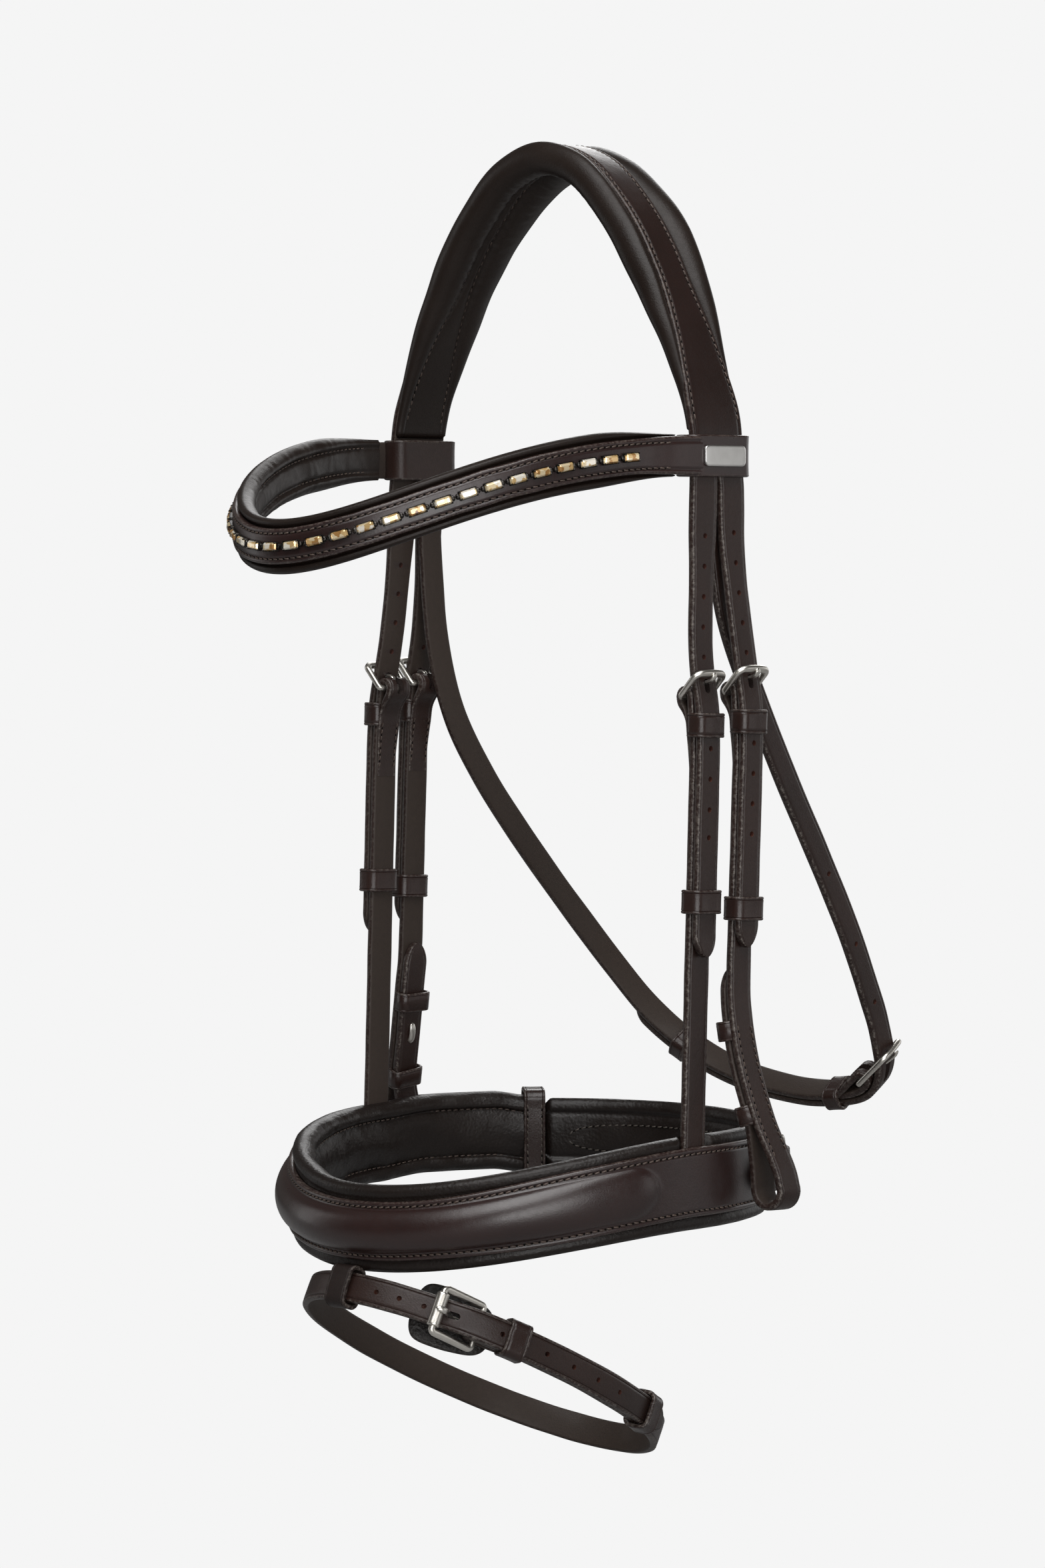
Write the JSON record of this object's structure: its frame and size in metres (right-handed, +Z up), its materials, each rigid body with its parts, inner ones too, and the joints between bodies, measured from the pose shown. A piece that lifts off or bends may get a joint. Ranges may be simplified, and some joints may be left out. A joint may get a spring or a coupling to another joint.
{
  "type": "snaffle bridle",
  "caption": "Leather snaffle bridle with padded headpiece, dipped browband set with stones, buckled cheekpieces with bit loops, throatlash, padded noseband and flash strap.",
  "frame": {"origin": "under the crown of the headpiece, where it sits on the poll", "axes": "+X to the near (left) side, -Y forward to the nose, +Z up"},
  "size_m": [0.23, 0.3041, 0.5418],
  "materials": {
    "strap_leather": "smooth finished strap leather, dark brown",
    "panel_leather": "smooth polished panel leather, dark brown",
    "crown_leather": "smooth leather, dark brown",
    "keeper_leather": "smooth leather, dark brown",
    "lining": "soft grained lining leather, near black",
    "steel": "satin stainless steel",
    "plate": "polished plain plate",
    "stone": "cut glass, golden",
    "setting": "black cup chain"
  },
  "bodies": {
    "headpiece": {"headpiece_leather": "crown_leather", "headpiece_padding": "lining"},
    "browband": {"browband_leather": "panel_leather", "browband_padding": "lining", "near_browband_loop": "keeper_leather", "far_browband_loop": "keeper_leather", "browband_setting": "setting", "browband_stones": "stone", "browband_plate": "plate"},
    "noseband": {"near_nose_billet": "strap_leather", "near_nose_strap": "strap_leather", "near_nose_buckle": "steel", "near_nose_keeper": "keeper_leather", "far_nose_billet": "strap_leather", "far_nose_strap": "strap_leather", "far_nose_buckle": "steel", "far_nose_keeper": "keeper_leather", "noseband_leather": "panel_leather", "noseband_padding": "lining", "noseband_loop": "keeper_leather", "flash_tab": "keeper_leather", "chin_pad": "lining", "chin_strap": "strap_leather", "chin_chape": "strap_leather", "chin_buckle": "steel"},
    "near_cheek": {"near_cheek_billet": "strap_leather", "near_cheekpiece": "strap_leather", "near_cheek_buckle": "steel", "near_cheek_keeper": "keeper_leather", "near_bit_keepers": "keeper_leather", "near_hook_stud": "steel"},
    "far_cheek": {"far_cheek_billet": "strap_leather", "far_cheekpiece": "strap_leather", "far_cheek_buckle": "steel", "far_cheek_keeper": "keeper_leather", "far_bit_keepers": "keeper_leather", "far_hook_stud": "steel"},
    "throatlash": {"throat_strap": "strap_leather", "throat_billet": "strap_leather", "throat_buckle": "steel", "throat_keeper": "keeper_leather"},
    "flash": {"flash_strap": "strap_leather", "flash_buckle": "steel", "flash_safe": "strap_leather", "flash_keeper": "keeper_leather"},
    "near_nose_tongue": {"near_nose_tongue": "steel"},
    "near_nose_runner": {"near_nose_runner": "keeper_leather"},
    "near_cheek_tongue": {"near_cheek_tongue": "steel"},
    "near_cheek_runner": {"near_cheek_runner": "keeper_leather"},
    "far_nose_tongue": {"far_nose_tongue": "steel"},
    "far_nose_runner": {"far_nose_runner": "keeper_leather"},
    "far_cheek_tongue": {"far_cheek_tongue": "steel"},
    "far_cheek_runner": {"far_cheek_runner": "keeper_leather"},
    "throat_tongue": {"throat_tongue": "steel"},
    "throat_runner": {"throat_runner": "keeper_leather"},
    "chin_tongue": {"chin_tongue": "steel"},
    "flash_tongue": {"flash_tongue": "steel"},
    "flash_roller": {"flash_roller": "steel"},
    "flash_runner": {"flash_runner": "keeper_leather"}
  },
  "joints": [
    {"name": "browband_lift", "type": "slide", "parent": "headpiece", "child": "browband", "axis": [0, 0, 1], "range_m": [0, 0.008]},
    {"name": "near_cheek_swing", "type": "hinge", "parent": "headpiece", "child": "near_cheek", "pos_m": [0.0865, 0.00791, -0.13101], "axis": [0, -1, 0], "range_deg": [0, 30]},
    {"name": "far_cheek_swing", "type": "hinge", "parent": "headpiece", "child": "far_cheek", "pos_m": [-0.0865, 0.00791, -0.13101], "axis": [0, 1, 0], "range_deg": [0, 30]},
    {"name": "noseband_swing", "type": "hinge", "parent": "headpiece", "child": "noseband", "pos_m": [0, -0.00787, -0.13123], "axis": [-1, 0, 0], "range_deg": [0, 12]},
    {"name": "throatlash_swing", "type": "hinge", "parent": "headpiece", "child": "throatlash", "pos_m": [0, 0.004, -0.1323], "axis": [1, 0, 0], "range_deg": [0, 25]},
    {"name": "flash_swing", "type": "hinge", "parent": "noseband", "child": "flash", "pos_m": [0, -0.1224, -0.4464], "axis": [1, 0, 0], "range_deg": [0, 10]},
    {"name": "near_nose_tongue_lift", "type": "hinge", "parent": "noseband", "child": "near_nose_tongue", "pos_m": [0.0865, -0.0132, -0.2135], "axis": [0, 0.9995, -0.0332], "range_deg": [0, 25]},
    {"name": "near_nose_runner_slide", "type": "slide", "parent": "noseband", "child": "near_nose_runner", "axis": [0, 0.0332, 0.9995], "range_m": [-0.01, 0.03]},
    {"name": "near_cheek_tongue_lift", "type": "hinge", "parent": "near_cheek", "child": "near_cheek_tongue", "pos_m": [0.0898, 0.0086, -0.212], "axis": [0, 0.9993, -0.0384], "range_deg": [0, 25]},
    {"name": "near_cheek_runner_slide", "type": "slide", "parent": "near_cheek", "child": "near_cheek_runner", "axis": [0, 0.0384, 0.9993], "range_m": [-0.01, 0.03]},
    {"name": "far_nose_tongue_lift", "type": "hinge", "parent": "noseband", "child": "far_nose_tongue", "pos_m": [-0.0865, -0.0132, -0.2135], "axis": [0, -0.9995, 0.0332], "range_deg": [0, 25]},
    {"name": "far_nose_runner_slide", "type": "slide", "parent": "noseband", "child": "far_nose_runner", "axis": [0, 0.0332, 0.9995], "range_m": [-0.01, 0.03]},
    {"name": "far_cheek_tongue_lift", "type": "hinge", "parent": "far_cheek", "child": "far_cheek_tongue", "pos_m": [-0.0898, 0.0086, -0.212], "axis": [0, -0.9993, 0.0384], "range_deg": [0, 25]},
    {"name": "far_cheek_runner_slide", "type": "slide", "parent": "far_cheek", "child": "far_cheek_runner", "axis": [0, 0.0384, 0.9993], "range_m": [-0.01, 0.03]},
    {"name": "throat_tongue_lift", "type": "hinge", "parent": "throatlash", "child": "throat_tongue", "pos_m": [0.05318, 0.12939, -0.37722], "axis": [-0.2036, 0.882, 0.425], "range_deg": [0, 25]},
    {"name": "throat_runner_slide", "type": "slide", "parent": "throatlash", "child": "throat_runner", "axis": [-0.7998, -0.2779, 0.5321], "range_m": [-0.003, 0.003]},
    {"name": "chin_tongue_lift", "type": "hinge", "parent": "noseband", "child": "chin_tongue", "pos_m": [0.07111, 0.05075, -0.4065], "axis": [0, 0, -1], "range_deg": [0, 25]},
    {"name": "flash_tongue_lift", "type": "hinge", "parent": "flash", "child": "flash_tongue", "pos_m": [0.04492, -0.09319, -0.46129], "axis": [0, 0.454, 0.891], "range_deg": [0, 20]},
    {"name": "flash_roller_turn", "type": "hinge", "parent": "flash", "child": "flash_roller", "pos_m": [0.04042, -0.11013, -0.45265], "axis": [0, 0.454, 0.891], "continuous": true},
    {"name": "flash_runner_slide", "type": "slide", "parent": "flash", "child": "flash_runner", "axis": [-0.3009, 0.8497, -0.433], "range_m": [-0.004, 0.004]}
  ]
}
